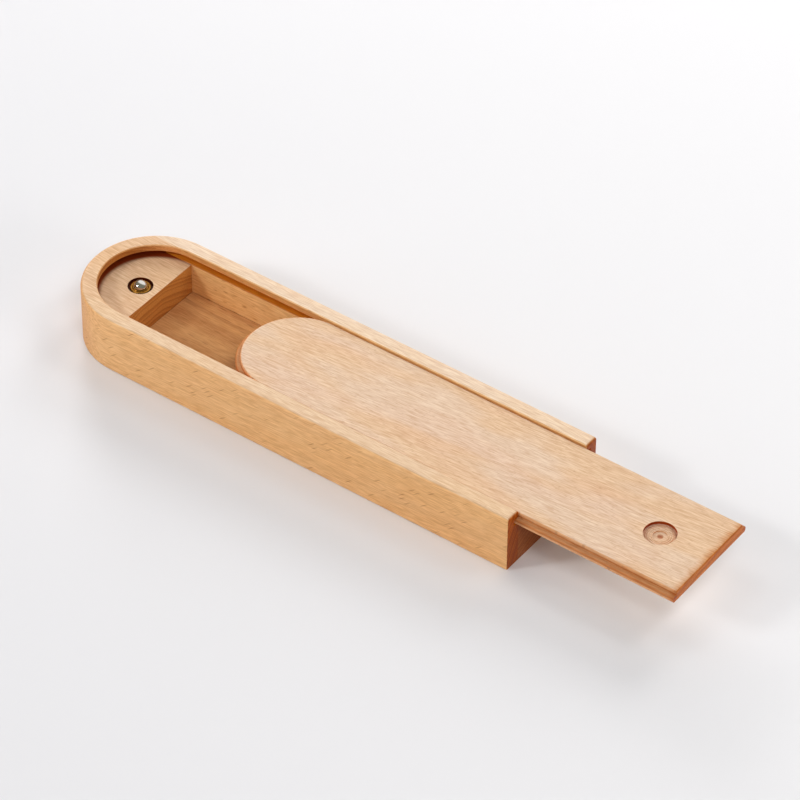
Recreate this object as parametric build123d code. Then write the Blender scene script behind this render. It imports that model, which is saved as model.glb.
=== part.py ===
from build123d import *
import math
import os

# A slim wooden pencil box, 231 mm long, with one half-round end and one square end.
# Two side rails, a half-round end block, a low end wall and a floor panel are glued into the case.
# A lid slides in a groove under the case's rim, and a sprung ball in the end block holds it shut.
# All sizes are in millimetres. X runs along the case towards its open square end, Z is up, and
# the origin is the middle of the case's underside.

# Case, outside
CASE_LENGTH = 231.0
CASE_WIDTH = 61.0
CASE_HEIGHT = 27.0
RIM_EDGE_RADIUS = 1.4
END_CORNER_RADIUS = 0.5
BASE_CHAMFER = 0.4

# Case, inside
SIDE_RAIL_THICKNESS = 7.3
FLOOR_THICKNESS = 6.2
ROUND_BLOCK_LENGTH = 31.5
END_WALL_THICKNESS = 8.0

# Rim opening and the groove under the rim, routed round the assembled case
RIM_REVEAL = 0.4
RIM_THICKNESS = 3.1
RIM_INNER_EASE = 0.35
GROOVE_DEPTH = 2.8
GROOVE_HEIGHT = 2.95

# Lid
LID_DROP = 1.05
LID_SIDE_PLAY = 1.05
LID_HEIGHT_PLAY = 0.1
LID_RIM_GAP = 0.35
LID_STOP_GAP = 0.3
LID_TONGUE_ROUND = 0.9
LID_TOP_ROUND = 0.6
LID_END_ROUND = 0.8
LID_COVE_RADIUS = 0.3
LID_DRAWN_OUT = 74.0

# Finger recess in the lid, as the drill leaves it
RECESS_FROM_END = 23.2
RECESS_RADIUS = 6.75
RECESS_DEPTH = 1.45
RECESS_STEP_RADIUS = 2.9
RECESS_STEP_DEPTH = 0.45
RECESS_POINT_RADIUS = 1.3
RECESS_POINT_DEPTH = 0.6

# Ball catch in the round end block
CATCH_FROM_TIP = 22.95
CATCH_SINK_RADIUS = 5.4
CATCH_SINK_DEPTH = 1.5
BARREL_RADIUS = 4.4
BARREL_LENGTH = 11.0
BARREL_BASE = 0.8
BARREL_GLUE_GAP = 0.03
BARREL_MOUTH_DROP = 0.05
BARREL_RIM_DROP = 0.4
BARREL_RIM_ROUND = 0.5
BARREL_LIP_WIDTH = 0.25
BARREL_LIP_FOOT = 0.55
BARREL_LINE_WIDTH = 0.2
BARREL_LINE_DEPTH = 0.2
BALL_RADIUS = 3.0
BALL_RISE = 2.35
BALL_BORE_PLAY = 0.15
BALL_SEAT_GAP = 0.02
BALL_DIMPLE_GAP = 0.15
SPRING_WIRE_RADIUS = 0.28
SPRING_RADIUS = 2.3
SPRING_TURNS = 6
SPRING_GAP = 0.02

# Levels and half widths that follow from the sizes above
half_length = CASE_LENGTH / 2
half_width = CASE_WIDTH / 2
arc_x = half_width - half_length
inner_half = half_width - SIDE_RAIL_THICKNESS
opening_half = inner_half + RIM_REVEAL
groove_half = opening_half + GROOVE_DEPTH
groove_top = CASE_HEIGHT - RIM_THICKNESS
groove_floor = groove_top - GROOVE_HEIGHT
block_face_x = ROUND_BLOCK_LENGTH - half_length
end_wall_x = half_length - END_WALL_THICKNESS
past_end = CASE_LENGTH

lid_bottom = groove_floor + LID_HEIGHT_PLAY
lid_tongue_top = groove_top - LID_HEIGHT_PLAY
lid_top = CASE_HEIGHT - LID_DROP
lid_tongue_half = groove_half - LID_SIDE_PLAY
lid_plate_half = opening_half - LID_RIM_GAP
lid_arc_x = arc_x + LID_STOP_GAP + LID_DRAWN_OUT
lid_end_x = half_length + LID_DRAWN_OUT

catch_x = CATCH_FROM_TIP - half_length
ball_z = groove_floor + BALL_RISE - BALL_RADIUS
barrel_top = groove_floor - BARREL_MOUTH_DROP
barrel_bottom = barrel_top - BARREL_LENGTH
barrel_bore = BALL_RADIUS + BALL_BORE_PLAY


def round_ended_face(half, centre_x, end_x, level):
    """A flat outline with a half-round end of radius half about centre_x and a square end."""
    sides = Polyline((centre_x, -half), (end_x, -half), (end_x, half), (centre_x, half))
    end = ThreePointArc((centre_x, half), (centre_x - half, 0), (centre_x, -half))
    return Pos(0, 0, level) * make_face(sides + end)


def round_ended_slab(half, centre_x, end_x, bottom, top):
    """A flat slab on that outline, from bottom to top."""
    return extrude(round_ended_face(half, centre_x, end_x, bottom), amount=top - bottom)


def box_between(x, y, z):
    """A box given by its low and high limits on each axis."""
    size = Box(x[1] - x[0], y[1] - y[0], z[1] - z[0])
    return Pos((x[0] + x[1]) / 2, (y[0] + y[1]) / 2, (z[0] + z[1]) / 2) * size


def case_blank():
    """The whole case as one solid block, with its outer edges rounded over."""
    blank = round_ended_slab(half_width, arc_x, half_length, 0, CASE_HEIGHT)
    corners = blank.edges().filter_by(Axis.Z).group_by(Axis.X)[-1]
    blank = fillet(corners, END_CORNER_RADIUS)
    blank = fillet(blank.edges().group_by(Axis.Z)[-1], RIM_EDGE_RADIUS)
    return chamfer(blank.edges().group_by(Axis.Z)[0], BASE_CHAMFER)


def lid_way():
    """What the router takes out: the opening inside the rim and the groove below it."""
    groove = round_ended_slab(groove_half, arc_x, past_end, groove_floor, groove_top)
    opening = round_ended_slab(opening_half, arc_x, past_end, groove_floor, CASE_HEIGHT + 1)
    ease_bottom = CASE_HEIGHT - RIM_INNER_EASE
    ease_face = round_ended_face(opening_half, arc_x, past_end, ease_bottom)
    ease = extrude(ease_face, amount=2 * RIM_INNER_EASE, taper=-45)
    return groove + opening + ease


def side_rail(side):
    """One side rail, cut to the case's outline: side is -1 for the near one and +1 for the far one."""
    inner = side * inner_half
    outer = side * CASE_WIDTH
    plank = box_between((-CASE_LENGTH, CASE_LENGTH), sorted((inner, outer)), (-1, CASE_HEIGHT + 1))
    return (case_blank() & plank) - lid_way()


def between_rails(x, z):
    """A block that fills the space between the rails."""
    return box_between(x, (-inner_half, inner_half), z)


def upright_cylinder(radius, bottom, top):
    """A round bar about the Z axis, from bottom to top."""
    return Pos(0, 0, bottom) * Cylinder(radius, top - bottom, align=(Align.CENTER, Align.CENTER, Align.MIN))


def turned(points):
    """A solid turned about the Z axis from a closed outline of (radius, height) points."""
    outline = make_face(Polyline(*[(radius, 0, height) for radius, height in points], close=True))
    return revolve(outline, Axis.Z)


def round_end_block():
    """The block that closes the round end, with the drilled and sunk hole for the ball catch."""
    block = case_blank() & between_rails((-CASE_LENGTH, block_face_x), (-1, CASE_HEIGHT + 1))
    bore = upright_cylinder(BARREL_RADIUS + BARREL_GLUE_GAP, barrel_bottom, CASE_HEIGHT)
    sink = upright_cylinder(CATCH_SINK_RADIUS, groove_floor - CATCH_SINK_DEPTH, CASE_HEIGHT)
    return block - lid_way() - Pos(catch_x, 0, 0) * (bore + sink)


def open_end_wall():
    """The low wall at the square end, level with the groove's floor so that the lid passes over it."""
    return case_blank() & between_rails((end_wall_x, CASE_LENGTH), (-1, groove_floor))


def floor_panel():
    """The floor between the rails, from the end block to the end wall."""
    return case_blank() & between_rails((block_face_x, end_wall_x), (-1, FLOOR_THICKNESS))


def running_edges(slab, level):
    """The edges that run along a slab and round its end, on its lowest (0) or highest (-1) level."""
    clear_of_end = lid_end_x - LID_END_ROUND - 1
    return [edge for edge in slab.edges().group_by(Axis.Z)[level] if edge.center().X < clear_of_end]


def cove_edges(lid):
    """The inner corner where the lid's plate stands on its tongue, along the sides and round the end."""
    def in_corner(edge):
        box = edge.bounding_box()
        level = max(abs(box.min.Z - lid_tongue_top), abs(box.max.Z - lid_tongue_top))
        reach = max(abs(box.min.Y), abs(box.max.Y))
        return level < 0.001 and abs(reach - lid_plate_half) < 0.001
    return lid.edges().filter_by(in_corner)


def finger_recess():
    """The stepped hollow that the drill leaves for a fingertip, with its centre point."""
    step_level = lid_top - RECESS_DEPTH
    floor_level = step_level - RECESS_STEP_DEPTH
    return turned([(0, floor_level - RECESS_POINT_DEPTH), (RECESS_POINT_RADIUS, floor_level),
                   (RECESS_STEP_RADIUS, floor_level), (RECESS_STEP_RADIUS, step_level),
                   (RECESS_RADIUS, step_level), (RECESS_RADIUS, CASE_HEIGHT), (0, CASE_HEIGHT)])


def sliding_lid():
    """The lid: a wide tongue that runs in the groove, under a narrower plate that fills the opening."""
    tongue = round_ended_slab(lid_tongue_half, lid_arc_x, lid_end_x, lid_bottom, lid_tongue_top)
    tongue = fillet(running_edges(tongue, 0) + running_edges(tongue, -1), LID_TONGUE_ROUND)
    plate = round_ended_slab(lid_plate_half, lid_arc_x, lid_end_x, lid_bottom, lid_top)
    plate = fillet(plate.edges().group_by(Axis.Z)[-1].sort_by(Axis.X)[-1], LID_END_ROUND)
    plate = fillet(running_edges(plate, -1), LID_TOP_ROUND)
    lid = tongue + plate
    lid = fillet(cove_edges(lid), LID_COVE_RADIUS)
    lid -= Pos(lid_end_x - RECESS_FROM_END, 0, 0) * finger_recess()
    return lid - Pos(catch_x + LID_DRAWN_OUT, 0, ball_z) * Sphere(BALL_RADIUS + BALL_DIMPLE_GAP)


def catch_barrel():
    """The brass barrel: a closed base, a smooth bore, a rounded rim and a lip crimped in over the ball."""
    rim_top = barrel_top - BARREL_RIM_DROP
    mouth = math.sqrt((BALL_RADIUS + BALL_SEAT_GAP) ** 2 - (barrel_top - ball_z) ** 2)
    lip_foot = mouth + BARREL_LIP_FOOT
    barrel = turned([(0, barrel_bottom), (BARREL_RADIUS, barrel_bottom), (BARREL_RADIUS, rim_top),
                     (lip_foot, rim_top), (mouth + BARREL_LIP_WIDTH, barrel_top), (0, barrel_top)])
    rim_edge = barrel.edges().filter_by(GeomType.CIRCLE).sort_by(lambda edge: edge.radius + edge.center().Z)[-1]
    barrel = fillet(rim_edge, BARREL_RIM_ROUND)
    line = turned([(lip_foot, rim_top - BARREL_LINE_DEPTH), (lip_foot + BARREL_LINE_WIDTH, rim_top - BARREL_LINE_DEPTH),
                   (lip_foot + BARREL_LINE_WIDTH, barrel_top), (lip_foot, barrel_top)])
    bore = upright_cylinder(barrel_bore, barrel_bottom + BARREL_BASE, ball_z)
    seat = Pos(0, 0, ball_z) * Sphere(BALL_RADIUS + BALL_SEAT_GAP)
    return Pos(catch_x, 0, 0) * (barrel - line - bore - seat)


def catch_ball():
    """The ball, pressed up against the crimped mouth."""
    return Pos(catch_x, 0, ball_z) * Sphere(BALL_RADIUS)


def catch_spring():
    """The coil spring between the barrel's base and the ball."""
    touch_radius = SPRING_RADIUS + SPRING_GAP
    ball_reach = BALL_RADIUS + SPRING_WIRE_RADIUS + SPRING_GAP
    start = barrel_bottom + BARREL_BASE + SPRING_WIRE_RADIUS + SPRING_GAP
    end = ball_z - math.sqrt(ball_reach ** 2 - touch_radius ** 2)
    coil = Helix(pitch=(end - start) / SPRING_TURNS, height=end - start, radius=SPRING_RADIUS)
    wire = Plane(origin=coil @ 0, z_dir=coil % 0) * Circle(SPRING_WIRE_RADIUS)
    return Pos(catch_x, 0, start) * sweep(wire, path=coil, is_frenet=True)


def main():
    nodes = {
        "near_side_rail": side_rail(-1),
        "far_side_rail": side_rail(1),
        "round_end_block": round_end_block(),
        "open_end_wall": open_end_wall(),
        "floor_panel": floor_panel(),
        "sliding_lid": sliding_lid(),
        "catch_barrel": catch_barrel(),
        "catch_ball": catch_ball(),
        "catch_spring": catch_spring(),
    }
    os.makedirs("parts", exist_ok=True)
    for name, solid in nodes.items():
        export_step(solid, f"parts/{name}.step")


main()
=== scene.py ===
"""A slim beech pencil box with a sliding lid, dressed and lit for one studio picture."""

import logging
import math
from dataclasses import dataclass, replace
from enum import Enum
from typing import Any

import bmesh
import bpy
from mathutils import Matrix, Vector


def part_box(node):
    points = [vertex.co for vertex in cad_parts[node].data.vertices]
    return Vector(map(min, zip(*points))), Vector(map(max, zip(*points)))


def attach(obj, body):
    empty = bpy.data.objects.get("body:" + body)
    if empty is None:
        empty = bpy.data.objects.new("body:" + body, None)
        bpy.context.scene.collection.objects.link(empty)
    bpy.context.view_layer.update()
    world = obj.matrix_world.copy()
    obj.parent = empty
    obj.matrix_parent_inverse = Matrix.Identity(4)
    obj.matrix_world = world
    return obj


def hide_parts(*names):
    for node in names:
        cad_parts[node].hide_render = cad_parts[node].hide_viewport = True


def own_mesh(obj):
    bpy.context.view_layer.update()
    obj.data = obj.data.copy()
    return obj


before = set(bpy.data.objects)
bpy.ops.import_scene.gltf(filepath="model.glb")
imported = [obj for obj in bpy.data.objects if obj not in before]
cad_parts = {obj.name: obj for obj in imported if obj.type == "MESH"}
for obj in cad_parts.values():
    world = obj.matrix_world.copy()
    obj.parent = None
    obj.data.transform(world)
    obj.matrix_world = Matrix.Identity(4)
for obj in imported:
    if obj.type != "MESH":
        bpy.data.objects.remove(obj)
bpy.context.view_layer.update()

log = logging.getLogger("pencil_box")

MM_PER_M = 1000.0
WELD_M = 1e-6

Colour = tuple[float, float, float, float]
Tree = bpy.types.NodeTree
# What feeds a node's input: a node, a node's output, a number, a vector or a hex colour
Feed = bpy.types.Node | bpy.types.NodeSocket | float | tuple[float, ...] | str

# Settings that many nodes share
SMOOTH = {"interpolation_type": "SMOOTHSTEP"}
BLEND = {"data_type": "RGBA"}
DARKEN = {"data_type": "RGBA", "blend_type": "MULTIPLY"}

# Ranges for Map Range nodes: from 1 to 2 is the value's range, and what comes out goes from 3 to 4

# How far a face leans towards an axis, and how much it counts as facing that way
UP_OR_DOWN = {1: 0.6, 2: 0.98, 3: 0.0, 4: 1.0}
TO_OPEN_END = {1: 0.35, 2: 0.95, 3: 0.0, 4: 1.0}
TO_ROUND_END = {1: -0.9, 2: -0.05, 3: 1.0, 4: 0.0}
TO_FAR_SIDE = {1: 0.1, 2: 0.9, 3: 0.0, 4: 1.0}
# A ring line over the width of its year: it comes slowly and ends at once
LATE_WOOD_COMES = {1: 0.1, 2: 0.75, 3: 0.0, 4: 1.0}
LATE_WOOD_ENDS = {1: 0.8, 2: 1.0, 3: 1.0, 4: 0.0}
# A fleck's dark core, by the distance from the middle of its cell
FLECK_CORE = {1: 0.12, 2: 0.36, 3: 1.0, 4: 0.0}
# The part of its cell's size that a fleck fills, and the part of the flecks that show in full
FLECK_FILL = 0.6
FLECK_IN_FULL = 0.4
# How strongly flecks show on sawn end grain, against a long face
FLECK_ON_SAWN = 0.3
# The band of a noise's values that makes pores, and the one that makes worn patches
PORE_BAND = {1: 0.3, 2: 0.7}
WORN_BAND = {1: 0.35, 2: 0.7}
# The height of the finest relief, and how far flecks and glue lines lie below it, as parts of that
RELIEF_M = 0.00003
FLECK_SINK = 0.5
SEAM_SINK = 3.0
# How far behind a cut wall's face its painted shade starts to fade, and where it has ended
SKIN_MM = (0.1, 0.2)
# How far apart the lines of a wave texture lie at a scale of 1
WAVE_PITCH = 2 * math.pi / 20


class Axis(Enum):
    """An axis of the shared frame."""

    X = 0
    Y = 1
    Z = 2


class Side(Enum):
    """The side of a node's box that is meant along an axis."""

    LOW = 0
    HIGH = 1


def edge_mm(node: str, side: Side, axis: Axis) -> float:
    """Tells where a CAD node ends at rest.

    Args:
        node: The node's name.
        side: Its low side or its high side.
        axis: The axis that it is measured along.

    Returns:
        The place in millimetres.
    """
    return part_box(node)[side.value][axis.value] * MM_PER_M


# Lines of the case that the finishes follow, in millimetres
RIM_THICKNESS_MM = 3.1
GROOVE_REACH_MM = 3.2
RIM_REVEAL_MM = 0.4
INNER_HALF_MM = edge_mm("floor_panel", Side.HIGH, Axis.Y)
FLOOR_TOP_MM = edge_mm("floor_panel", Side.HIGH, Axis.Z)
BLOCK_FACE_MM = edge_mm("round_end_block", Side.HIGH, Axis.X)
GROOVE_FLOOR_MM = edge_mm("open_end_wall", Side.HIGH, Axis.Z)
GROOVE_TOP_MM = edge_mm("round_end_block", Side.HIGH, Axis.Z) - RIM_THICKNESS_MM
GROOVE_HALF_MM = INNER_HALF_MM + GROOVE_REACH_MM
OPENING_HALF_MM = INNER_HALF_MM + RIM_REVEAL_MM
CASE_HALF_MM = edge_mm("far_side_rail", Side.HIGH, Axis.Y)
ROUND_CENTRE_MM = edge_mm("round_end_block", Side.LOW, Axis.X) + CASE_HALF_MM


def linear(hex_code: str) -> Colour:
    """Turns an sRGB hex colour into the linear colour that the shader wants.

    Args:
        hex_code: Six hex digits, such as "e8c9a4".

    Returns:
        Red, green, blue and an alpha of 1, all linear.
    """
    channels = (int(hex_code[i : i + 2], 16) / 255 for i in (0, 2, 4))
    red, green, blue = (c / 12.92 if c <= 0.04045 else ((c + 0.055) / 1.055) ** 2.4 for c in channels)
    return red, green, blue, 1.0


def per_mm(size_mm: tuple[float, ...], fill: float = 1.0) -> tuple[float, ...]:
    """Gives a pattern's scale along each axis, for a thing of this size that fills this part of a cell."""
    return tuple(fill / each for each in size_mm)


def add_node(
    tree: Tree, kind: str, inputs: dict[int | str, Feed] | None = None, **settings: Any
) -> bpy.types.Node:
    """Adds one node to a tree with its settings, values and links.

    Args:
        tree: The node tree that gets the node.
        kind: The node's type name.
        inputs: Input name or number to a value, a hex colour, or the socket or node that feeds it.
            A node feeds it from its first output in use. A Mix takes its share at 0 and its two
            colours at 6 and 7, and a Map Range takes its value at 0 and its range from 1 on.
        settings: The node's own properties.

    Returns:
        The new node.
    """
    node = tree.nodes.new(kind)
    for name, value in settings.items():
        setattr(node, name, value)
    for name, value in (inputs or {}).items():
        if isinstance(value, bpy.types.Node):
            value = next(socket for socket in value.outputs if socket.enabled)
        if isinstance(value, bpy.types.NodeSocket):
            tree.links.new(value, node.inputs[name])
        else:
            node.inputs[name].default_value = linear(value) if isinstance(value, str) else value
    return node


def new_material(name: str) -> tuple[bpy.types.Material, Tree]:
    """Makes an empty node material.

    Args:
        name: The finish's plain name.

    Returns:
        The material and its tree, with no nodes in it.
    """
    material = bpy.data.materials.new(name)
    material.use_nodes = True
    material.node_tree.nodes.clear()
    return material, material.node_tree


@dataclass(frozen=True)
class Seam:
    """A hairline where two pieces are glued, seen as a dark line on this one.

    Attributes:
        axis: The axis that the joint's plane lies across.
        at_mm: Where that plane is.
        width_mm: How far the dark line reaches from the plane.
    """

    axis: Axis
    at_mm: float
    width_mm: float = 0.28


@dataclass(frozen=True)
class Routed:
    """A band inside a routed cut, along the box and round its end, with shade painted into the wood.

    Attributes:
        level_mm: The lowest and highest places of the cut.
        inner_mm: How far out from the middle line the painted shade starts, and where it is whole.
        outer_mm: How far out the cut reaches.
        tone: What the wood's tone is multiplied by there, as painted shade.
        centre_mm: Where along the box its round end has its centre.
        soft_mm: Over what height the painted shade fades above and below.
    """

    level_mm: tuple[float, float]
    inner_mm: tuple[float, float]
    outer_mm: float
    tone: str
    centre_mm: float = ROUND_CENTRE_MM
    soft_mm: float = 0.1


@dataclass(frozen=True)
class Bore:
    """A hollow sunk by a bit from above, which has scorched its wall and the floor beside it.

    Attributes:
        along_mm: Where along the box its axis is.
        radius_mm: Its radius.
        top_mm: The height of the face that it is sunk in.
        tone: What the wall's tone is multiplied by, as painted shade.
        floor_share: How much of that the floor beside the wall gets, 0 to 1.
        point_share: How much of it the mark of the bit's point gets, 0 to 1.
        point_mm: How far from the axis that mark starts to fade, and where it has ended.
    """

    along_mm: float
    radius_mm: float
    top_mm: float
    tone: str
    floor_share: float = 0.35
    point_share: float = 0.7
    point_mm: tuple[float, float] = (0.8, 1.5)


@dataclass(frozen=True)
class Beech:
    """Steamed beech, planed, sanded and lightly oiled: pale, even and close-grained.

    Dashes lie where a face cuts the rays, faint grain runs between them, and end grain drinks
    more oil, so it is darker and shows its rings. The tone of each way a face looks also holds
    painted light and shade for how the lamps fall on it, which makes sawn end grain darkest.

    Attributes:
        name: The finish's plain name.
        top: Tone of the faces that look up or down, painted light and shade included.
        side: Tone of the faces that look across the box, painted light and shade included.
        end: Tone of sawn end grain, which faces +X, with painted shade and light in it.
        round_end: Tone of the turned and finely sanded round end, which faces -X, with painted shade in it.
        back: Tone of the faces that look to +Y, where it differs from the side, with painted shade in it.
        routed: The bands of painted shade in this piece's routed cuts.
        bore: The hollow sunk in this piece, which gets painted shade.
        pith_mm: Where the tree's centre line passes the origin, across the grain (y, z).
        tilt_deg: How far the grain runs off the box's length, level and upright.
        fleck: Tone of a ray fleck.
        fleck_amount: How strongly flecks show on the sides, 0 to 1.
        top_fleck_amount: How strongly they show on faces that look up or down, 0 to 1.
        fleck_share: The share of rays that show at all, 0 to 1.
        fleck_size_mm: A fleck's length, its reach across the board (Y) and its thickness (Z).
        fleck_slant_deg: How far the flecks lean up from the length of the board.
        ring_mm: Spacing of the growth rings.
        ring_amount: How dark a ring line is on a long face.
        end_ring_amount: How dark a ring line is on end grain.
        late_wood: What a ring line multiplies the tone by.
        stray_mm: How far a ring strays from a true circle.
        stray_reach_mm: The length and the widths over which it strays.
        lean_years: How far good years and lean ones move the rings, as a part of their spacing.
        season_scale: How quickly good years follow lean ones, per ring.
        drift: How strongly the board's tone drifts from place to place, 0 to 1.
        pore_mm: A pore's length and its widths.
        pore_tone: What a pore multiplies the tone by.
        pore_amount: How strongly, 0 to 1.
        roughness: How rough the oiled wood is between the pores, and in them.
        seams: Glue lines on this piece.
        glue_tone: What a glue line multiplies the tone by.
        glue_amount: How strongly, 0 to 1.
        bare_ends_mm: Places along the box where end grain has drawn oil, seen as a warmer band.
        oiled_tone: What that band multiplies the tone by.
        oiled_amount: How strongly at the very end, 0 to 1.
        oiled_mm: Where the band starts to fade, and where it has ended.
        ragged_mm: How far its edge is ragged.
        ragged_reach_mm: The length and the widths of one tooth of that edge.
    """

    name: str
    top: str
    side: str
    end: str
    round_end: str = "e8b57c"
    back: str | None = None
    routed: tuple[Routed, ...] = ()
    bore: Bore | None = None
    pith_mm: tuple[float, float] = (10.0, -90.0)
    tilt_deg: tuple[float, float] = (0.0, 0.0)
    fleck: str = "c07c3c"
    fleck_amount: float = 0.5
    top_fleck_amount: float = 0.12
    fleck_share: float = 0.3
    fleck_size_mm: tuple[float, float, float] = (2.4, 3.0, 0.5)
    fleck_slant_deg: float = 0.0
    ring_mm: float = 2.3
    ring_amount: float = 0.06
    end_ring_amount: float = 0.4
    late_wood: str = "a8683a"
    stray_mm: float = 3.2
    stray_reach_mm: tuple[float, float, float] = (60.0, 14.0, 14.0)
    lean_years: float = 1.6
    season_scale: float = 0.6
    drift: float = 0.22
    pore_mm: tuple[float, float, float] = (6.0, 0.36, 0.36)
    pore_tone: str = "c8a684"
    pore_amount: float = 0.55
    roughness: tuple[float, float] = (0.44, 0.56)
    seams: tuple[Seam, ...] = ()
    glue_tone: str = "7a4420"
    glue_amount: float = 0.5
    bare_ends_mm: tuple[float, ...] = ()
    oiled_tone: str = "e2b27c"
    oiled_amount: float = 0.8
    oiled_mm: tuple[float, float] = (2.0, 6.5)
    ragged_mm: float = 5.0
    ragged_reach_mm: tuple[float, float, float] = (9.0, 2.5, 2.5)

    def material(self) -> bpy.types.Material:
        """Builds the beech material.

        Returns:
            The finished material.
        """
        material, tree = new_material(self.name)
        place = add_node(tree, "ShaderNodeTexCoord").outputs
        # One unit is a millimetre from here on
        to_mm = {0: place["Object"], "Scale": MM_PER_M}
        spot = add_node(tree, "ShaderNodeVectorMath", to_mm, operation="SCALE")
        ring_place, log_place = self._log_places(tree, spot)

        colour, upward, sawn = self._face_tone(tree, place["Normal"])
        # Painted shade in the routed cuts and the bored hollow
        for cut in self.routed:
            colour = self._painted_shade_band(tree, colour, spot, cut)
        colour = self._hollow_painted_shade(tree, colour, spot, upward)
        colour = self._mottle(tree, colour, log_place)
        colour = self._rings(tree, colour, ring_place, sawn)
        colour, fleck = self._flecks(tree, colour, spot, upward, sawn)
        colour = self._soaked_ends(tree, colour, spot)
        colour, seam = self._seams(tree, colour, spot)
        colour, pores = self._pores(tree, colour, log_place)

        low_fleck = {0: fleck, 1: -FLECK_SINK, 2: pores}
        height = add_node(tree, "ShaderNodeMath", low_fleck, operation="MULTIPLY_ADD")
        low_seam = {0: seam, 1: -SEAM_SINK, 2: height}
        height = add_node(tree, "ShaderNodeMath", low_seam, operation="MULTIPLY_ADD")
        relief = add_node(tree, "ShaderNodeBump", {"Strength": 0.35, "Distance": RELIEF_M, "Height": height})
        # An oil finish leaves a soft sheen, a little duller in the pores
        dull = {0: pores, **PORE_BAND, 3: self.roughness[0], 4: self.roughness[1]}
        sheen = add_node(tree, "ShaderNodeMapRange", dull)
        finish = {
            "Base Color": colour,
            "Roughness": sheen,
            "Normal": relief,
            "IOR": 1.5,
            "Specular IOR Level": 0.25,
        }
        shader = add_node(tree, "ShaderNodeBsdfPrincipled", finish)
        add_node(tree, "ShaderNodeOutputMaterial", {"Surface": shader})
        return material

    def _log_places(self, tree: Tree, spot: Feed) -> tuple[Feed, Feed]:
        """Finds where a spot lay in the log that the board was sawn from.

        Args:
            tree: The material's tree.
            spot: The place in millimetres.

        Returns:
            How far out from the pith it lay, strayed as the rings are, and its place along, out
            from and round the pith.
        """
        tilt = (0, math.radians(self.tilt_deg[1]), math.radians(self.tilt_deg[0]))
        from_pith = {"Vector": spot, "Location": (0, -self.pith_mm[0], -self.pith_mm[1]), "Rotation": tilt}
        in_log = add_node(tree, "ShaderNodeMapping", from_pith)
        along, out_y, out_z = add_node(tree, "ShaderNodeSeparateXYZ", {0: in_log}).outputs
        across = add_node(tree, "ShaderNodeCombineXYZ", {1: out_y, 2: out_z})
        radius = add_node(tree, "ShaderNodeVectorMath", {0: across}, operation="LENGTH")
        angle = add_node(tree, "ShaderNodeMath", {0: out_y, 1: out_z}, operation="ARCTAN2")
        bend = {0: angle, 1: math.hypot(*self.pith_mm)}
        around = add_node(tree, "ShaderNodeMath", bend, operation="MULTIPLY")
        slow = {0: spot, 1: per_mm(self.stray_reach_mm)}
        slow_spot = add_node(tree, "ShaderNodeVectorMath", slow, operation="MULTIPLY")
        stray = add_node(tree, "ShaderNodeTexNoise", {"Vector": slow_spot, "Scale": 1.0, "Detail": 1.0})
        strayed = {0: stray, 1: self.stray_mm, 2: radius}
        ring_place = add_node(tree, "ShaderNodeMath", strayed, operation="MULTIPLY_ADD")
        log_place = add_node(tree, "ShaderNodeCombineXYZ", {0: along, 1: ring_place, 2: around})
        return ring_place, log_place

    def _face_tone(self, tree: Tree, normal: Feed) -> tuple[Feed, Feed, Feed]:
        """Chooses the wood's tone by how each face cuts the board, with painted light and shade by which way
        each face looks.

        Args:
            tree: The material's tree.
            normal: The face's direction in the piece's own frame.

        Returns:
            The tone, how much the face looks up or down, and how much of it is sawn end grain.
        """
        facing = add_node(tree, "ShaderNodeSeparateXYZ", {0: normal}).outputs
        level = add_node(tree, "ShaderNodeMath", {0: facing[2]}, operation="ABSOLUTE")
        upward = add_node(tree, "ShaderNodeMapRange", {0: level, **UP_OR_DOWN}, **SMOOTH)
        sawn = add_node(tree, "ShaderNodeMapRange", {0: facing[0], **TO_OPEN_END}, **SMOOTH)
        turned = add_node(tree, "ShaderNodeMapRange", {0: facing[0], **TO_ROUND_END}, **SMOOTH)
        tone = add_node(tree, "ShaderNodeMix", {0: upward, 6: self.side, 7: self.top}, **BLEND)
        if self.back:
            behind = add_node(tree, "ShaderNodeMapRange", {0: facing[1], **TO_FAR_SIDE}, **SMOOTH)
            tone = add_node(tree, "ShaderNodeMix", {0: behind, 6: tone, 7: self.back}, **BLEND)
        tone = add_node(tree, "ShaderNodeMix", {0: turned, 6: tone, 7: self.round_end}, **BLEND)
        tone = add_node(tree, "ShaderNodeMix", {0: sawn, 6: tone, 7: self.end}, **BLEND)
        return tone, upward, sawn

    def _painted_shade_band(self, tree: Tree, colour: Feed, spot: Feed, cut: Routed) -> Feed:
        """Paints shade on a band inside a routed cut, out to its back wall only.

        Args:
            tree: The material's tree.
            colour: The wood's tone so far.
            spot: The place in millimetres.
            cut: The band.

        Returns:
            The tone with the band on it.
        """
        along, out_y, up = add_node(tree, "ShaderNodeSeparateXYZ", {0: spot}).outputs
        past = add_node(tree, "ShaderNodeMath", {0: along, 1: cut.centre_mm}, operation="SUBTRACT")
        past = add_node(tree, "ShaderNodeMath", {0: past, 1: 0.0}, operation="MINIMUM")
        arm = add_node(tree, "ShaderNodeCombineXYZ", {0: past, 1: out_y})
        reach = add_node(tree, "ShaderNodeVectorMath", {0: arm}, operation="LENGTH")
        low, high = cut.level_mm
        # Each limit is a value, its range and the share of painted shade at either end of that
        limits = (
            (up, low - cut.soft_mm, low, 0.0, 1.0),
            (up, high, high + cut.soft_mm, 1.0, 0.0),
            (reach, *cut.inner_mm, 0.0, 1.0),
            (reach, cut.outer_mm + SKIN_MM[0], cut.outer_mm + SKIN_MM[1], 1.0, 0.0),
        )
        share: Feed = 1.0
        for limit in limits:
            within = add_node(tree, "ShaderNodeMapRange", dict(enumerate(limit)), **SMOOTH)
            share = add_node(tree, "ShaderNodeMath", {0: share, 1: within}, operation="MULTIPLY")
        return add_node(tree, "ShaderNodeMix", {0: share, 6: colour, 7: cut.tone}, **DARKEN)

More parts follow.
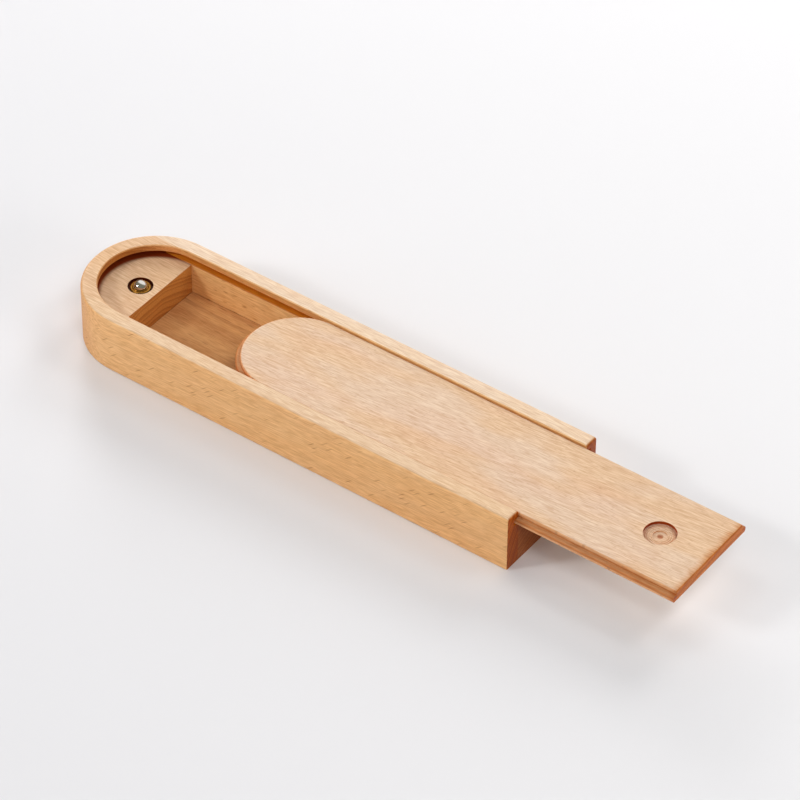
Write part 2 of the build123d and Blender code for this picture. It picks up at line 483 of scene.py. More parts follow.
    def _hollow_painted_shade(self, tree: Tree, colour: Feed, spot: Feed, upward: Feed) -> Feed:
        """Paints shade on the hollow's wall, the floor beside it and the mark of the bit's point.

        Args:
            tree: The material's tree.
            colour: The wood's tone so far.
            spot: The place in millimetres.
            upward: How much the face looks up or down.

        Returns:
            The tone with the painted shade on it.
        """
        if self.bore is None:
            return colour
        axis = (self.bore.along_mm, 0.0, 0.0)
        arm = add_node(tree, "ShaderNodeVectorMath", {0: spot, 1: axis}, operation="SUBTRACT")
        level = add_node(tree, "ShaderNodeVectorMath", {0: arm, 1: (1, 1, 0)}, operation="MULTIPLY")
        reach = add_node(tree, "ShaderNodeVectorMath", {0: level}, operation="LENGTH")
        up = add_node(tree, "ShaderNodeSeparateXYZ", {0: spot}).outputs[2]
        edge, top = self.bore.radius_mm, self.bore.top_mm
        # Each of these is a value, its range and the share of painted shade at either end of that
        wall = (reach, 0.8 * edge, 0.9 * edge, 0.0, 1.0)
        floor_edge = (reach, 0.7 * edge, 0.85 * edge, 0.0, self.bore.floor_share)
        point_mark = (reach, *self.bore.point_mm, self.bore.point_share, 0.0)
        inside = (reach, edge + SKIN_MM[0], edge + SKIN_MM[1], 1.0, 0.0)
        below = (up, top - 0.2, top - 0.05, 1.0, 0.0)
        on_wall = add_node(tree, "ShaderNodeMapRange", dict(enumerate(wall)))
        upright = add_node(tree, "ShaderNodeMath", {0: 1.0, 1: upward}, operation="SUBTRACT")
        share = add_node(tree, "ShaderNodeMath", {0: on_wall, 1: upright}, operation="MULTIPLY")
        steps = (("MAXIMUM", floor_edge), ("MAXIMUM", point_mark), ("MULTIPLY", inside), ("MULTIPLY", below))
        for operation, limit in steps:
            within = add_node(tree, "ShaderNodeMapRange", dict(enumerate(limit)))
            share = add_node(tree, "ShaderNodeMath", {0: share, 1: within}, operation=operation)
        return add_node(tree, "ShaderNodeMix", {0: share, 6: colour, 7: self.bore.tone}, **DARKEN)

    def _mottle(self, tree: Tree, colour: Feed, log_place: Feed) -> Feed:
        """Lays in a board's slow drifts from yellow to pink, and its finer cloud.

        Args:
            tree: The material's tree.
            colour: The wood's tone so far.
            log_place: The place along, out from and round the pith.

        Returns:
            The tone with the drifts on it.
        """
        # Each drift is its length and widths in millimetres, its limits, its depth and its tint
        drifts = (
            ((45, 11, 11), (0.38, 0.64), self.drift, "fff0d4"),
            ((60, 13, 17), (0.46, 0.72), 0.6 * self.drift, "fbecec"),
            ((7, 0.6, 0.6), (0.35, 0.7), 0.08, "ecd0b0"),
        )
        for size_mm, (low, high), depth, tint in drifts:
            cells = {0: log_place, 1: per_mm(size_mm)}
            scaled = add_node(tree, "ShaderNodeVectorMath", cells, operation="MULTIPLY")
            cloud = add_node(tree, "ShaderNodeTexNoise", {"Vector": scaled, "Scale": 1.0, "Detail": 1.0})
            ends = {0: cloud, 1: low, 2: high, 3: 0.0, 4: depth}
            amount = add_node(tree, "ShaderNodeMapRange", ends, **SMOOTH)
            colour = add_node(tree, "ShaderNodeMix", {0: amount, 6: colour, 7: tint}, **DARKEN)
        return colour

    def _rings(self, tree: Tree, colour: Feed, ring_place: Feed, sawn: Feed) -> Feed:
        """Darkens the late wood of each year's growth, with good years and lean ones.

        Args:
            tree: The material's tree.
            colour: The wood's tone so far.
            ring_place: How far out from the pith, in millimetres.
            sawn: How much of the face is sawn end grain.

        Returns:
            The tone with the rings on it.
        """
        count = {0: ring_place, 1: 1 / self.ring_mm}
        years = add_node(tree, "ShaderNodeMath", count, operation="MULTIPLY")
        seasons = {"W": years, "Scale": self.season_scale, "Detail": 1.0}
        season = add_node(tree, "ShaderNodeTexNoise", seasons, noise_dimensions="1D")
        moved = {0: season, 1: self.lean_years, 2: years}
        uneven = add_node(tree, "ShaderNodeMath", moved, operation="MULTIPLY_ADD")
        turn = add_node(tree, "ShaderNodeMath", {0: uneven}, operation="FRACT")
        comes = add_node(tree, "ShaderNodeMapRange", {0: turn, **LATE_WOOD_COMES}, **SMOOTH)
        ends = add_node(tree, "ShaderNodeMapRange", {0: turn, **LATE_WOOD_ENDS}, **SMOOTH)
        late = add_node(tree, "ShaderNodeMath", {0: comes, 1: ends}, operation="MULTIPLY")
        by_face = {0: sawn, 3: self.ring_amount, 4: self.end_ring_amount}
        depth = add_node(tree, "ShaderNodeMapRange", by_face)
        amount = add_node(tree, "ShaderNodeMath", {0: late, 1: depth}, operation="MULTIPLY")
        return add_node(tree, "ShaderNodeMix", {0: amount, 6: colour, 7: self.late_wood}, **DARKEN)

    def _flecks(
        self, tree: Tree, colour: Feed, spot: Feed, upward: Feed, sawn: Feed
    ) -> tuple[Feed, Feed]:
        """Scatters the rays, thin spindles that show as short darker dashes where a face cuts them.

        Args:
            tree: The material's tree.
            colour: The wood's tone so far.
            spot: The place in millimetres.
            upward: How much the face looks up or down.
            sawn: How much of it is sawn end grain.

        Returns:
            The tone with the flecks on it, and where a fleck is, 0 to 1.
        """
        leaning = {"Vector": spot, "Rotation": (0, math.radians(self.fleck_slant_deg), 0)}
        turned = add_node(tree, "ShaderNodeMapping", leaning)
        sizes = {0: turned, 1: per_mm(self.fleck_size_mm, FLECK_FILL)}
        scaled = add_node(tree, "ShaderNodeVectorMath", sizes, operation="MULTIPLY")
        scatter = {"Vector": scaled, "Scale": 1.0, "Randomness": 1.0}
        cells = add_node(tree, "ShaderNodeTexVoronoi", scatter).outputs
        chance = add_node(tree, "ShaderNodeSeparateColor", {0: cells["Color"]}).outputs[0]
        in_full = 1 - FLECK_IN_FULL * self.fleck_share
        chosen = {0: chance, 1: 1 - self.fleck_share, 2: in_full, 3: 0.0, 4: 1.0}
        shown = add_node(tree, "ShaderNodeMapRange", chosen, **SMOOTH)
        core = add_node(tree, "ShaderNodeMapRange", {0: cells["Distance"], **FLECK_CORE}, **SMOOTH)
        fleck = add_node(tree, "ShaderNodeMath", {0: core, 1: shown}, operation="MULTIPLY")
        by_face = {0: upward, 3: self.fleck_amount, 4: self.top_fleck_amount}
        amount = add_node(tree, "ShaderNodeMapRange", by_face)
        fades = add_node(tree, "ShaderNodeMapRange", {0: sawn, 3: 1.0, 4: FLECK_ON_SAWN})
        amount = add_node(tree, "ShaderNodeMath", {0: amount, 1: fades}, operation="MULTIPLY")
        amount = add_node(tree, "ShaderNodeMath", {0: amount, 1: fleck}, operation="MULTIPLY")
        return add_node(tree, "ShaderNodeMix", {0: amount, 6: colour, 7: self.fleck}, **BLEND), fleck

    def _soaked_ends(self, tree: Tree, colour: Feed, spot: Feed) -> Feed:
        """Warms the last few millimetres next to a bare end, where the grain has drawn oil in.

        Args:
            tree: The material's tree.
            colour: The wood's tone so far.
            spot: The place in millimetres.

        Returns:
            The tone with the warm bands on it.
        """
        if not self.bare_ends_mm:
            return colour
        along = add_node(tree, "ShaderNodeSeparateXYZ", {0: spot}).outputs[0]
        teeth = {0: spot, 1: per_mm(self.ragged_reach_mm)}
        scaled = add_node(tree, "ShaderNodeVectorMath", teeth, operation="MULTIPLY")
        ragged = add_node(tree, "ShaderNodeTexNoise", {"Vector": scaled, "Scale": 1.0, "Detail": 2.0})
        for end in self.bare_ends_mm:
            away = add_node(tree, "ShaderNodeMath", {0: along, 1: end}, operation="SUBTRACT")
            away = add_node(tree, "ShaderNodeMath", {0: away}, operation="ABSOLUTE")
            uneven = {0: ragged, 1: self.ragged_mm, 2: away}
            away = add_node(tree, "ShaderNodeMath", uneven, operation="MULTIPLY_ADD")
            ends = {0: away, 1: self.oiled_mm[0], 2: self.oiled_mm[1], 3: self.oiled_amount, 4: 0.0}
            amount = add_node(tree, "ShaderNodeMapRange", ends, **SMOOTH)
            colour = add_node(tree, "ShaderNodeMix", {0: amount, 6: colour, 7: self.oiled_tone}, **DARKEN)
        return colour

    def _seams(self, tree: Tree, colour: Feed, spot: Feed) -> tuple[Feed, Feed]:
        """Draws the hairlines where this piece is glued to the next, inside the case only.

        Args:
            tree: The material's tree.
            colour: The wood's tone so far.
            spot: The place in millimetres.

        Returns:
            The tone with the lines on it, and where a line is, 0 to 1.
        """
        if not self.seams:
            return colour, 0.0
        parts = add_node(tree, "ShaderNodeSeparateXYZ", {0: spot}).outputs
        dark: Feed = 0.0
        for seam in self.seams:
            plane = {0: parts[seam.axis.value], 1: seam.at_mm}
            away = add_node(tree, "ShaderNodeMath", plane, operation="SUBTRACT")
            away = add_node(tree, "ShaderNodeMath", {0: away}, operation="ABSOLUTE")
            line = {0: away, 1: 0.0, 2: seam.width_mm, 3: 1.0, 4: 0.0}
            near = add_node(tree, "ShaderNodeMapRange", line)
            dark = add_node(tree, "ShaderNodeMath", {0: dark, 1: near}, operation="MAXIMUM")
        out_y = add_node(tree, "ShaderNodeMath", {0: parts[1]}, operation="ABSOLUTE")
        between_rails = {0: out_y, 1: INNER_HALF_MM + 0.1, 2: INNER_HALF_MM + 0.3, 3: 1.0, 4: 0.0}
        clear_of_block = {0: parts[0], 1: BLOCK_FACE_MM - 0.3, 2: BLOCK_FACE_MM - 0.1, 3: 0.0, 4: 1.0}
        for limit in (between_rails, clear_of_block):
            within = add_node(tree, "ShaderNodeMapRange", limit)
            dark = add_node(tree, "ShaderNodeMath", {0: dark, 1: within}, operation="MULTIPLY")
        amount = add_node(tree, "ShaderNodeMath", {0: dark, 1: self.glue_amount}, operation="MULTIPLY")
        return add_node(tree, "ShaderNodeMix", {0: amount, 6: colour, 7: self.glue_tone}, **DARKEN), dark

    def _pores(self, tree: Tree, colour: Feed, log_place: Feed) -> tuple[Feed, Feed]:
        """Draws the pores, coarser than real ones, which are too fine to show at the render's size.

        Args:
            tree: The material's tree.
            colour: The wood's tone so far.
            log_place: The place along, out from and round the pith.

        Returns:
            The tone with the pores on it, and the noise that they follow.
        """
        lines = {0: log_place, 1: per_mm(self.pore_mm)}
        scaled = add_node(tree, "ShaderNodeVectorMath", lines, operation="MULTIPLY")
        pores = add_node(tree, "ShaderNodeTexNoise", {"Vector": scaled, "Scale": 1.0, "Detail": 2.0})
        depth = add_node(tree, "ShaderNodeMapRange", {0: pores, **PORE_BAND, 3: 0.0, 4: self.pore_amount})
        return add_node(tree, "ShaderNodeMix", {0: depth, 6: colour, 7: self.pore_tone}, **DARKEN), pores


@dataclass(frozen=True)
class Metal:
    """A bare metal of the ball catch.

    Attributes:
        name: The finish's plain name.
        tone: Its colour.
        rough: Roughness where it is cleanest.
        worn: Roughness where it is most handled.
        marks_mm: How far apart the lathe's marks lie up the Z axis, coarse enough to show, 0 for none.
        patches_per_m: How many clean and worn patches there are to a metre.
    """

    name: str
    tone: str
    rough: float
    worn: float
    marks_mm: float = 0.0
    patches_per_m: float = 900.0

    def material(self) -> bpy.types.Material:
        """Builds the metal material.

        Returns:
            The finished material.
        """
        material, tree = new_material(self.name)
        place = add_node(tree, "ShaderNodeTexCoord").outputs["Object"]
        patches = {"Vector": place, "Scale": self.patches_per_m, "Detail": 3.0}
        cloud = add_node(tree, "ShaderNodeTexNoise", patches)
        rough = add_node(tree, "ShaderNodeMapRange", {0: cloud, **WORN_BAND, 3: self.rough, 4: self.worn})
        finish = {"Base Color": self.tone, "Metallic": 1.0, "Roughness": rough}
        if self.marks_mm:
            wave = {"Vector": place, "Scale": WAVE_PITCH * MM_PER_M / self.marks_mm, "Distortion": 0.4}
            marks = add_node(tree, "ShaderNodeTexWave", wave, bands_direction="Z").outputs["Fac"]
            felt = {"Strength": 0.15, "Distance": RELIEF_M, "Height": marks}
            finish["Normal"] = add_node(tree, "ShaderNodeBump", felt)
        shader = add_node(tree, "ShaderNodeBsdfPrincipled", finish)
        add_node(tree, "ShaderNodeOutputMaterial", {"Surface": shader})
        return material


def dress(node: str, material: bpy.types.Material) -> None:
    """Gives a CAD node its finish.

    Args:
        node: The node's name.
        material: The finish.
    """
    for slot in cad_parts[node].material_slots:
        slot.material = material
    log.info("dressed %s in %s", node, material.name)


@dataclass
class Case:
    """The case: two grooved rails, the round end block, the low end wall and the floor.

    Attributes:
        rail_groove_painted_shade: Painted shade: what the wood's tone is multiplied by in the rails' groove.
        block_groove_painted_shade: The same painted shade for the groove round the end, across the grain.
        lip_painted_shade: The same painted shade for the inner edge of the rim, above the groove.
        catch_mm: Where along the box the ball catch is.
        sink_radius_mm: Radius of the hollow that the catch is sunk in.
        rail_turned: Tone of the round end's outside where the rails make it, darkened as painted shade.
        block_turned: The same where the block makes it.
        back: Tone of the far outer side, darkened as painted shade.
    """

    rail_groove_painted_shade: str = "e49c33"
    block_groove_painted_shade: str = "8f4018"
    lip_painted_shade: str = "f0ddcb"
    catch_mm: float = (
        edge_mm("catch_barrel", Side.LOW, Axis.X) + edge_mm("catch_barrel", Side.HIGH, Axis.X)
    ) / 2
    sink_radius_mm: float = 5.4
    rail_turned: str = "dba46a"
    block_turned: str = "d59e64"
    back: str = "edc79b"

    def dress(self) -> None:
        """Gives each board of the case its own cut of beech."""
        floor_line = Seam(Axis.Z, FLOOR_TOP_MM)
        # Painted shade in the groove under the rim, growing towards its back wall
        groove = Routed(
            level_mm=(GROOVE_FLOOR_MM - 0.05, GROOVE_TOP_MM),
            inner_mm=(INNER_HALF_MM - 1.6, INNER_HALF_MM + 0.8),
            outer_mm=GROOVE_HALF_MM,
            tone=self.rail_groove_painted_shade,
        )
        # Painted shade on the rim's inner edge, above the groove
        lip = Routed(
            level_mm=(GROOVE_TOP_MM + 0.1, GROOVE_TOP_MM + RIM_THICKNESS_MM - 0.8),
            inner_mm=(OPENING_HALF_MM - 0.3, OPENING_HALF_MM - 0.2),
            outer_mm=OPENING_HALF_MM,
            tone=self.lip_painted_shade,
            soft_mm=0.4,
        )
        # Each face's tone holds painted light and shade as well as the cut: the sawn ends, the round end and
        # the far side are darkened as painted shade
        near = Beech(
            "near rail beech", top="f1d6b6", side="fbca8e", end="b05a10", round_end=self.rail_turned,
            routed=(groove, lip), pith_mm=(70, -35), tilt_deg=(0.5, 1.6),
            fleck_amount=0.62, fleck_share=0.3, fleck_size_mm=(5.0, 4.0, 0.55), fleck_slant_deg=38.0,
            ring_mm=1.7, end_ring_amount=0.6, seams=(floor_line,),
        )
        far = Beech(
            "far rail beech", top="f8e4cc", side="fbcf90", end="b05a10", round_end=self.rail_turned,
            back=self.back, routed=(groove, lip), pith_mm=(-80, -40), tilt_deg=(-0.4, -1.0),
            fleck_amount=0.75, fleck_share=0.4, fleck_size_mm=(3.0, 3.0, 0.5), fleck_slant_deg=3.0,
            seams=(floor_line,),
        )
        # Painted shade on the sink's wall and on the floor round the catch
        sink = Bore(self.catch_mm, self.sink_radius_mm, GROOVE_FLOOR_MM, "5a2408", floor_share=1.0)
        block = Beech(
            "round end beech", top="eccaa6", side="f9c488", end="ce904a", round_end=self.block_turned,
            back=self.back, routed=(replace(groove, tone=self.block_groove_painted_shade), lip), bore=sink,
            pith_mm=(-8, -35), tilt_deg=(3.0, 0.0), fleck_amount=0.5, fleck_size_mm=(3.6, 3.0, 0.55),
            ring_mm=2.6, end_ring_amount=0.4, seams=(floor_line,),
        )
        wall = Beech(
            "end wall beech", top="e8c5a0", side="fac888", end="aa6430", pith_mm=(10, -60),
            seams=(floor_line,),
        )
        side_lines = tuple(Seam(Axis.Y, side * INNER_HALF_MM) for side in (-1, 1))
        floor = Beech(
            "floor beech", top="e8b67c", side="fac888", end="b85c1c", pith_mm=(-12, -75),
            tilt_deg=(1.0, 0.0), fleck="9a5a2c", top_fleck_amount=0.5, fleck_share=0.4,
            fleck_size_mm=(5.0, 0.5, 2.0), ring_amount=0.25,
            seams=side_lines + (Seam(Axis.X, BLOCK_FACE_MM),),
        )
        dress("near_side_rail", near.material())
        dress("far_side_rail", far.material())
        dress("round_end_block", block.material())
        dress("open_end_wall", wall.material())
        dress("floor_panel", floor.material())


@dataclass
class Lid:
    """The sliding lid, one wide flat-sawn board with a finger recess.

    Attributes:
        end_mm: Where its square end is.
        tip_mm: Where its round end's tip is.
        foot_mm: The height of its lower face.
        top_mm: The height of its upper face.
        half_mm: Half the width across its tongues.
        plate_half_mm: Half the width of its upper part, between the tongues' ledges.
        tongue_mm: How thick the tongues are.
        ledge_painted_shade: What the wood's tone is multiplied by where the tongue's ledge was cut.
        recess_from_end_mm: From the square end to the recess's centre.
        recess_radius_mm: The recess's radius.
        recess_depth_mm: How deep the recess's floor lies under the upper face.
        recess_painted_shade: What the wood's tone is multiplied by on the recess's wall.
        ring_count: How many rings the cutter has left on that floor.
        first_ring_mm: Radius of the smallest.
        ring_pitch_mm: From one ring to the next.
        ring_width_mm: How wide a ring is.
        ring_height_mm: How far it stands proud.
        ring_corners: How many corners stand for a ring's circle.
        section_corners: How many corners stand for its section.
    """

    end_mm: float = edge_mm("sliding_lid", Side.HIGH, Axis.X)
    tip_mm: float = edge_mm("sliding_lid", Side.LOW, Axis.X)
    foot_mm: float = edge_mm("sliding_lid", Side.LOW, Axis.Z)
    top_mm: float = edge_mm("sliding_lid", Side.HIGH, Axis.Z)
    half_mm: float = edge_mm("sliding_lid", Side.HIGH, Axis.Y)
    plate_half_mm: float = 23.25
    tongue_mm: float = 2.75
    # ledge_painted_shade: Painted shade: what the wood's tone is multiplied by round the tongue's ledge.
    ledge_painted_shade: str = "dab692"
    recess_from_end_mm: float = 23.2
    recess_radius_mm: float = 6.75
    recess_depth_mm: float = 1.45
    # recess_painted_shade: Painted shade: what the wood's tone is multiplied by on the recess's wall, the
    # floor beside it and the bit's point mark.
    recess_painted_shade: str = "b8662c"
    ring_count: int = 4
    first_ring_mm: float = 3.5
    ring_pitch_mm: float = 0.85
    ring_width_mm: float = 0.34
    ring_height_mm: float = 0.12
    ring_corners: int = 96
    section_corners: int = 8

    def dress(self) -> None:
        """Gives the lid its beech, and its recess the cutter's rings."""
        ledge_mm = self.foot_mm + self.tongue_mm
        # Painted shade round the tongue's ledge, where the plate meets the tongue
        rebate = Routed(
            level_mm=(ledge_mm - 0.8, ledge_mm + 0.3),
            inner_mm=(self.plate_half_mm - 0.2, self.plate_half_mm - 0.1),
            outer_mm=self.half_mm,
            tone=self.ledge_painted_shade,
            centre_mm=self.tip_mm + self.half_mm,
            soft_mm=0.8,
        )
        recess_mm = self.end_mm - self.recess_from_end_mm
        # Painted shade on the recess's wall, the floor beside it and the bit's point mark
        recess = Bore(recess_mm, self.recess_radius_mm, self.top_mm, self.recess_painted_shade)
        # Its face tones hold painted light and shade as well as the cut
        board = Beech(
            "lid beech", top="edd4bb", side="f0bc8a", end="de9a48", round_end="edb682",
            routed=(rebate,), bore=recess, pith_mm=(6, -110), tilt_deg=(-4.0, 0.4),
            fleck="b88460", top_fleck_amount=0.28, fleck_share=0.6, fleck_size_mm=(1.6, 0.5, 3.0),
            ring_amount=0.03, drift=0.5, bare_ends_mm=(self.end_mm,),
        )
        wood = board.material()
        dress("sliding_lid", wood)
        self._cutter_rings(wood)

    def _cutter_rings(self, wood: bpy.types.Material) -> None:
        """Leaves the fine raised rings of the recess cutter on the recess's floor.

        Args:
            wood: The lid's finish.
        """
        sizes = {
            "Count": ("NodeSocketInt", self.ring_count),
            "First radius": ("NodeSocketFloat", self.first_ring_mm / MM_PER_M),
            "Pitch": ("NodeSocketFloat", self.ring_pitch_mm / MM_PER_M),
            "Half width": ("NodeSocketFloat", self.ring_width_mm / 2 / MM_PER_M),
            "Height": ("NodeSocketFloat", self.ring_height_mm / MM_PER_M),
            "Centre": ("NodeSocketVector", self._recess_floor()),
            "Wood": ("NodeSocketMaterial", wood),
        }
        tree = self._ring_tree({name: kind for name, (kind, _) in sizes.items()})
        piece = bpy.data.objects.new("recess_cutter_rings", bpy.data.meshes.new("recess_cutter_rings"))
        bpy.context.scene.collection.objects.link(piece)
        modifier = piece.modifiers.new("rings", "NODES")
        modifier.node_group = tree
        for item in tree.interface.items_tree:
            if item.in_out == "INPUT":
                modifier[item.identifier] = sizes[item.name][1]
        made = bpy.data.meshes.new_from_object(piece.evaluated_get(bpy.context.evaluated_depsgraph_get()))
        piece.modifiers.clear()
        piece.data = made
        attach(piece, "lid")
        log.info("made %s with %d rings, %d faces", piece.name, self.ring_count, len(made.polygons))

    def _ring_tree(self, sizes: dict[str, str]) -> Tree:
        """Builds the Geometry Nodes that sweep a flat section round each ring.

        Args:
            sizes: The name of each input, and its kind of socket.

        Returns:
            The finished node group.
        """
        tree = bpy.data.node_groups.new("cutter rings", "GeometryNodeTree")
        tree.interface.new_socket("Geometry", in_out="OUTPUT", socket_type="NodeSocketGeometry")
        for name, kind in sizes.items():
            tree.interface.new_socket(name, in_out="INPUT", socket_type=kind)
        given = add_node(tree, "NodeGroupInput").outputs
        stations = add_node(tree, "GeometryNodeMeshLine", {"Count": given["Count"], "Offset": (0, 0, 0)})
        place = add_node(tree, "GeometryNodeInputIndex")
        grown = {0: place, 1: given["Pitch"], 2: given["First radius"]}
        radius = add_node(tree, "ShaderNodeMath", grown, operation="MULTIPLY_ADD")
        round_path = {"Resolution": self.ring_corners, "Radius": 1.0}
        circle = add_node(tree, "GeometryNodeCurvePrimitiveCircle", round_path)
        set_out = {"Points": stations, "Instance": circle, "Scale": radius}
        rings = add_node(tree, "GeometryNodeInstanceOnPoints", set_out)
        round_bar = {"Resolution": self.section_corners, "Radius": 1.0}
        section = add_node(tree, "GeometryNodeCurvePrimitiveCircle", round_bar)
        flat = add_node(tree, "ShaderNodeCombineXYZ", {0: given["Half width"], 1: given["Height"], 2: 1.0})
        section = add_node(tree, "GeometryNodeTransform", {"Geometry": section, "Scale": flat})
        paths = add_node(tree, "GeometryNodeRealizeInstances", {0: rings})
        swept = add_node(tree, "GeometryNodeCurveToMesh", {"Curve": paths, "Profile Curve": section})
        laid = add_node(tree, "GeometryNodeTransform", {"Geometry": swept, "Translation": given["Centre"]})
        whole = add_node(tree, "GeometryNodeRealizeInstances", {0: laid})
        dressed = add_node(tree, "GeometryNodeSetMaterial", {"Geometry": whole, "Material": given["Wood"]})
        add_node(tree, "NodeGroupOutput", {0: dressed})
        return tree

    def _recess_floor(self) -> tuple[float, float, float]:
        """Gives the centre of the recess's floor, in metres."""
        along_mm = self.end_mm - self.recess_from_end_mm
        return along_mm / MM_PER_M, 0.0, (self.top_mm - self.recess_depth_mm) / MM_PER_M


@dataclass
class BallCatch:
    """The ball catch: a brass barrel, a polished steel ball and its spring.

    Attributes:
        joint: The joint by which the ball sinks. Not used.
        wire_mm: Thickness of the spring's wire. Not used.
    """

    joint: str = "catch_ball_travel"
    wire_mm: float = 0.56

    def dress(self) -> None:
        """Gives the catch's pieces their metals."""
        dress("catch_barrel", Metal("turned brass", "b57f34", 0.2, 0.34, marks_mm=0.79).material())
        dress("catch_ball", Metal("polished steel", "e2dfd8", 0.07, 0.12).material())
        dress("catch_spring", Metal("drawn spring wire", "a9abb0", 0.3, 0.42).material())
        self._live_spring()

    def _live_spring(self) -> None:
        """Puts a welded, smooth-shaded copy of the spring, carried with the case, in the place of the stiff
        one.
        """
        coil = bmesh.new()
        coil.from_mesh(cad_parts["catch_spring"].data)
        bmesh.ops.remove_doubles(coil, verts=coil.verts, dist=WELD_M)
        made = bpy.data.meshes.new("sprung_coil")
        coil.to_mesh(made)
        coil.free()
        made.shade_smooth()
        made.materials.append(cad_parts["catch_spring"].material_slots[0].material)
        piece = bpy.data.objects.new("sprung_coil", made)
        bpy.context.scene.collection.objects.link(piece)
        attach(piece, "case")
        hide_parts("catch_spring")

        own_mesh(piece)


@dataclass(frozen=True)
class Softbox:
    """A square soft lamp that faces the box.

    Attributes:
        name: What the lamp is.
        at_m: Its place.
        watts: Its power.
        edge_m: Its edge.
        mirrored: Whether the metal shows it.
    """

    name: str
    at_m: tuple[float, float, float]
    watts: float
    edge_m: float = 0.45
    mirrored: bool = False

    def place(self) -> None:
        """Hangs the lamp in the scene."""
        data = bpy.data.lights.new(self.name, "AREA")
        data.shape = "SQUARE"
        data.size = self.edge_m
        data.energy = self.watts
        lamp = bpy.data.objects.new(self.name, data)
        bpy.context.scene.collection.objects.link(lamp)
        lamp.location = self.at_m
        lamp.rotation_euler = (-Vector(self.at_m)).to_track_quat("-Z", "Y").to_euler()
        lamp.visible_glossy = self.mirrored


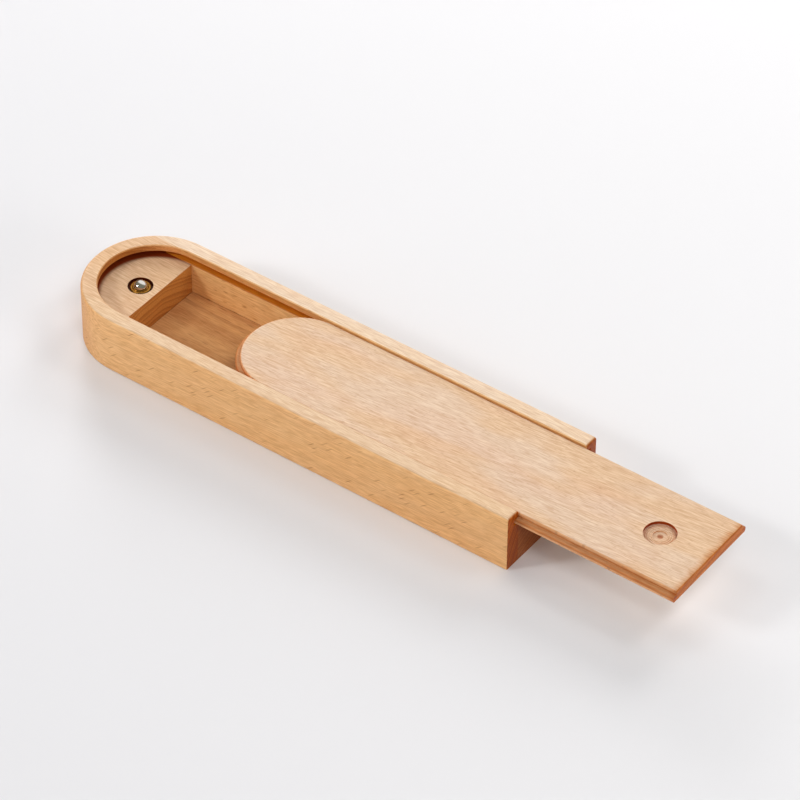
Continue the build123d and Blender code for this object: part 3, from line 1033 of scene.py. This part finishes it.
@dataclass
class Studio:
    """The pale floor, the soft lights and the camera.

    Attributes:
        floor_reach_m: How far the floor reaches.
        floor_corners: How many corners stand for its round edge.
        card_low: The card's tone at the front left.
        card_high: Its tone at the back right.
        card_slope: Which way it grows paler, as painted light.
        card_span_m: How far that takes, either side of the middle.
        backdrop: What the camera sees beyond the floor.
        unlit: The faint light of the room itself.
        mirrored_room: The room that the metal mirrors.
        mirrored_wall: Its white back wall.
        wall_facing: Where that wall is.
        wall_edge: Between which leans towards it the room goes over into the wall.
        camera_at_m: The camera's place.
        camera_right: Its right, as a direction.
        camera_down: Its down.
        camera_ahead: Where it looks.
        focal_mm: Its focal length.
        sensor_mm: The width of its sensor.
        sight_m: How far it sees.
        lamps: The lamps.
    """

    floor_reach_m: float = 3.0
    floor_corners: int = 96
    card_low: str = "e0dfe1"
    card_high: str = "f0eff0"
    card_slope: tuple[float, float, float] = (0.73, 0.69, 0.0)
    card_span_m: float = 0.25
    backdrop: str = "f7f6f7"
    unlit: str = "161616"
    mirrored_room: str = "817f72"
    mirrored_wall: str = "ffffff"
    wall_facing: tuple[float, float, float] = (-0.1, 0.77, 0.63)
    wall_edge: tuple[float, float] = (0.58, 0.78)
    camera_at_m: tuple[float, float, float] = (0.83515, -1.09194, 1.23073)
    camera_right: tuple[float, float, float] = (0.805782, 0.592186, 0.005483)
    camera_down: tuple[float, float, float] = (0.397113, -0.533434, -0.746826)
    camera_ahead: tuple[float, float, float] = (-0.439336, 0.603956, -0.664997)
    focal_mm: float = 203.27
    sensor_mm: float = 36.0
    sight_m: float = 20.0
    lamps: tuple[Softbox, ...] = (
        Softbox("low back left window", (-1.02, 1.02, 0.413), 12.6),
        Softbox("low right card", (1.442, 0.0, 0.413), 6.1),
        Softbox("low left card", (-1.442, 0.0, 0.413), 3.7),
        Softbox("front right fill", (0.707, -0.594, 1.182), 5.6),
        Softbox("back card", (0.0, 1.229, 0.86), 5.3),
        Softbox("front left key", (-0.722, -0.994, 0.86), 5.8, edge_m=0.22, mirrored=True),
        Softbox("low front left card", (-1.02, -1.02, 0.413), 3.6),
        Softbox("overhead right softbox", (0.707, 0.594, 1.182), 3.5),
        Softbox("front card", (0.0, -1.229, 0.86), 1.5),
        Softbox("overhead left softbox", (-0.562, 0.01, 1.391), 2.2),
        Softbox("back left softbox", (-0.722, 0.994, 0.86), 2.3),
    )

    def build(self) -> None:
        """Makes the floor, the room, the lamps and the camera."""
        self._floor()
        self._room()
        for lamp in self.lamps:
            lamp.place()
        self._camera()
        log.info("studio built with %d lamps", len(self.lamps))

    def _floor(self) -> None:
        """Lays the pale sheet of card that the box lies on, with painted light that makes it paler towards
        the back right.
        """
        mesh = bpy.data.meshes.new("floor card")
        form = bmesh.new()
        bmesh.ops.create_circle(
            form, cap_ends=True, segments=self.floor_corners, radius=self.floor_reach_m
        )
        form.to_mesh(mesh)
        form.free()
        floor = bpy.data.objects.new("floor card", mesh)
        bpy.context.scene.collection.objects.link(floor)
        material, tree = new_material("white card")
        place = add_node(tree, "ShaderNodeTexCoord").outputs["Object"]
        # Painted light: the card grows paler towards the back right and darker towards the front left
        slope = {0: place, 1: self.card_slope}
        along = add_node(tree, "ShaderNodeVectorMath", slope, operation="DOT_PRODUCT")
        span = {0: along, 1: -self.card_span_m, 2: self.card_span_m, 3: 0.0, 4: 1.0}
        paler = add_node(tree, "ShaderNodeMapRange", span)
        colour = add_node(tree, "ShaderNodeMix", {0: paler, 6: self.card_low, 7: self.card_high}, **BLEND)
        card = {"Base Color": colour, "Roughness": 0.9, "Specular IOR Level": 0.1}
        shader = add_node(tree, "ShaderNodeBsdfPrincipled", card)
        add_node(tree, "ShaderNodeOutputMaterial", {"Surface": shader})
        mesh.materials.append(material)

    def _room(self) -> None:
        """Makes a dim room, near white to the camera, with a white back wall for the metal to mirror."""
        world = bpy.data.worlds.new("studio room")
        bpy.context.scene.world = world
        world.use_nodes = True
        tree = world.node_tree
        tree.nodes.clear()
        path = add_node(tree, "ShaderNodeLightPath").outputs
        sight = add_node(tree, "ShaderNodeTexCoord").outputs["Generated"]
        behind = {0: sight, 1: self.wall_facing}
        facing = add_node(tree, "ShaderNodeVectorMath", behind, operation="DOT_PRODUCT")
        edge = {0: facing, 1: self.wall_edge[0], 2: self.wall_edge[1], 3: 0.0, 4: 1.0}
        share = add_node(tree, "ShaderNodeMapRange", edge)
        shown = {0: share, 6: self.mirrored_room, 7: self.mirrored_wall}
        mirrored = add_node(tree, "ShaderNodeMix", shown, **BLEND)
        lit = {0: path["Is Glossy Ray"], 6: self.unlit, 7: mirrored}
        colour = add_node(tree, "ShaderNodeMix", lit, **BLEND)
        for ray in ("Is Camera Ray", "Is Transmission Ray"):
            colour = add_node(tree, "ShaderNodeMix", {0: path[ray], 6: colour, 7: self.backdrop}, **BLEND)
        sky = add_node(tree, "ShaderNodeBackground", {"Color": colour, "Strength": 1.0})
        add_node(tree, "ShaderNodeOutputWorld", {"Surface": sky})

    def _camera(self) -> None:
        """Sets up a long lens at the photograph's angle."""
        data = bpy.data.cameras.new("camera")
        data.sensor_fit = "HORIZONTAL"
        data.sensor_width = self.sensor_mm
        data.lens = self.focal_mm
        data.clip_end = self.sight_m
        camera = bpy.data.objects.new("camera", data)
        bpy.context.scene.collection.objects.link(camera)
        right, up, back = Vector(self.camera_right), -Vector(self.camera_down), -Vector(self.camera_ahead)
        turn = Matrix((right, up, back)).transposed().to_4x4()
        camera.matrix_world = Matrix.Translation(self.camera_at_m) @ turn
        bpy.context.scene.camera = camera


def main() -> None:
    """Builds the picture in order and reports each part of it."""
    logging.basicConfig(level=logging.INFO)
    bpy.context.scene.view_settings.view_transform = "Standard"
    Studio().build()
    Case().dress()
    Lid().dress()
    BallCatch().dress()


if __name__ == "__main__":
    main()
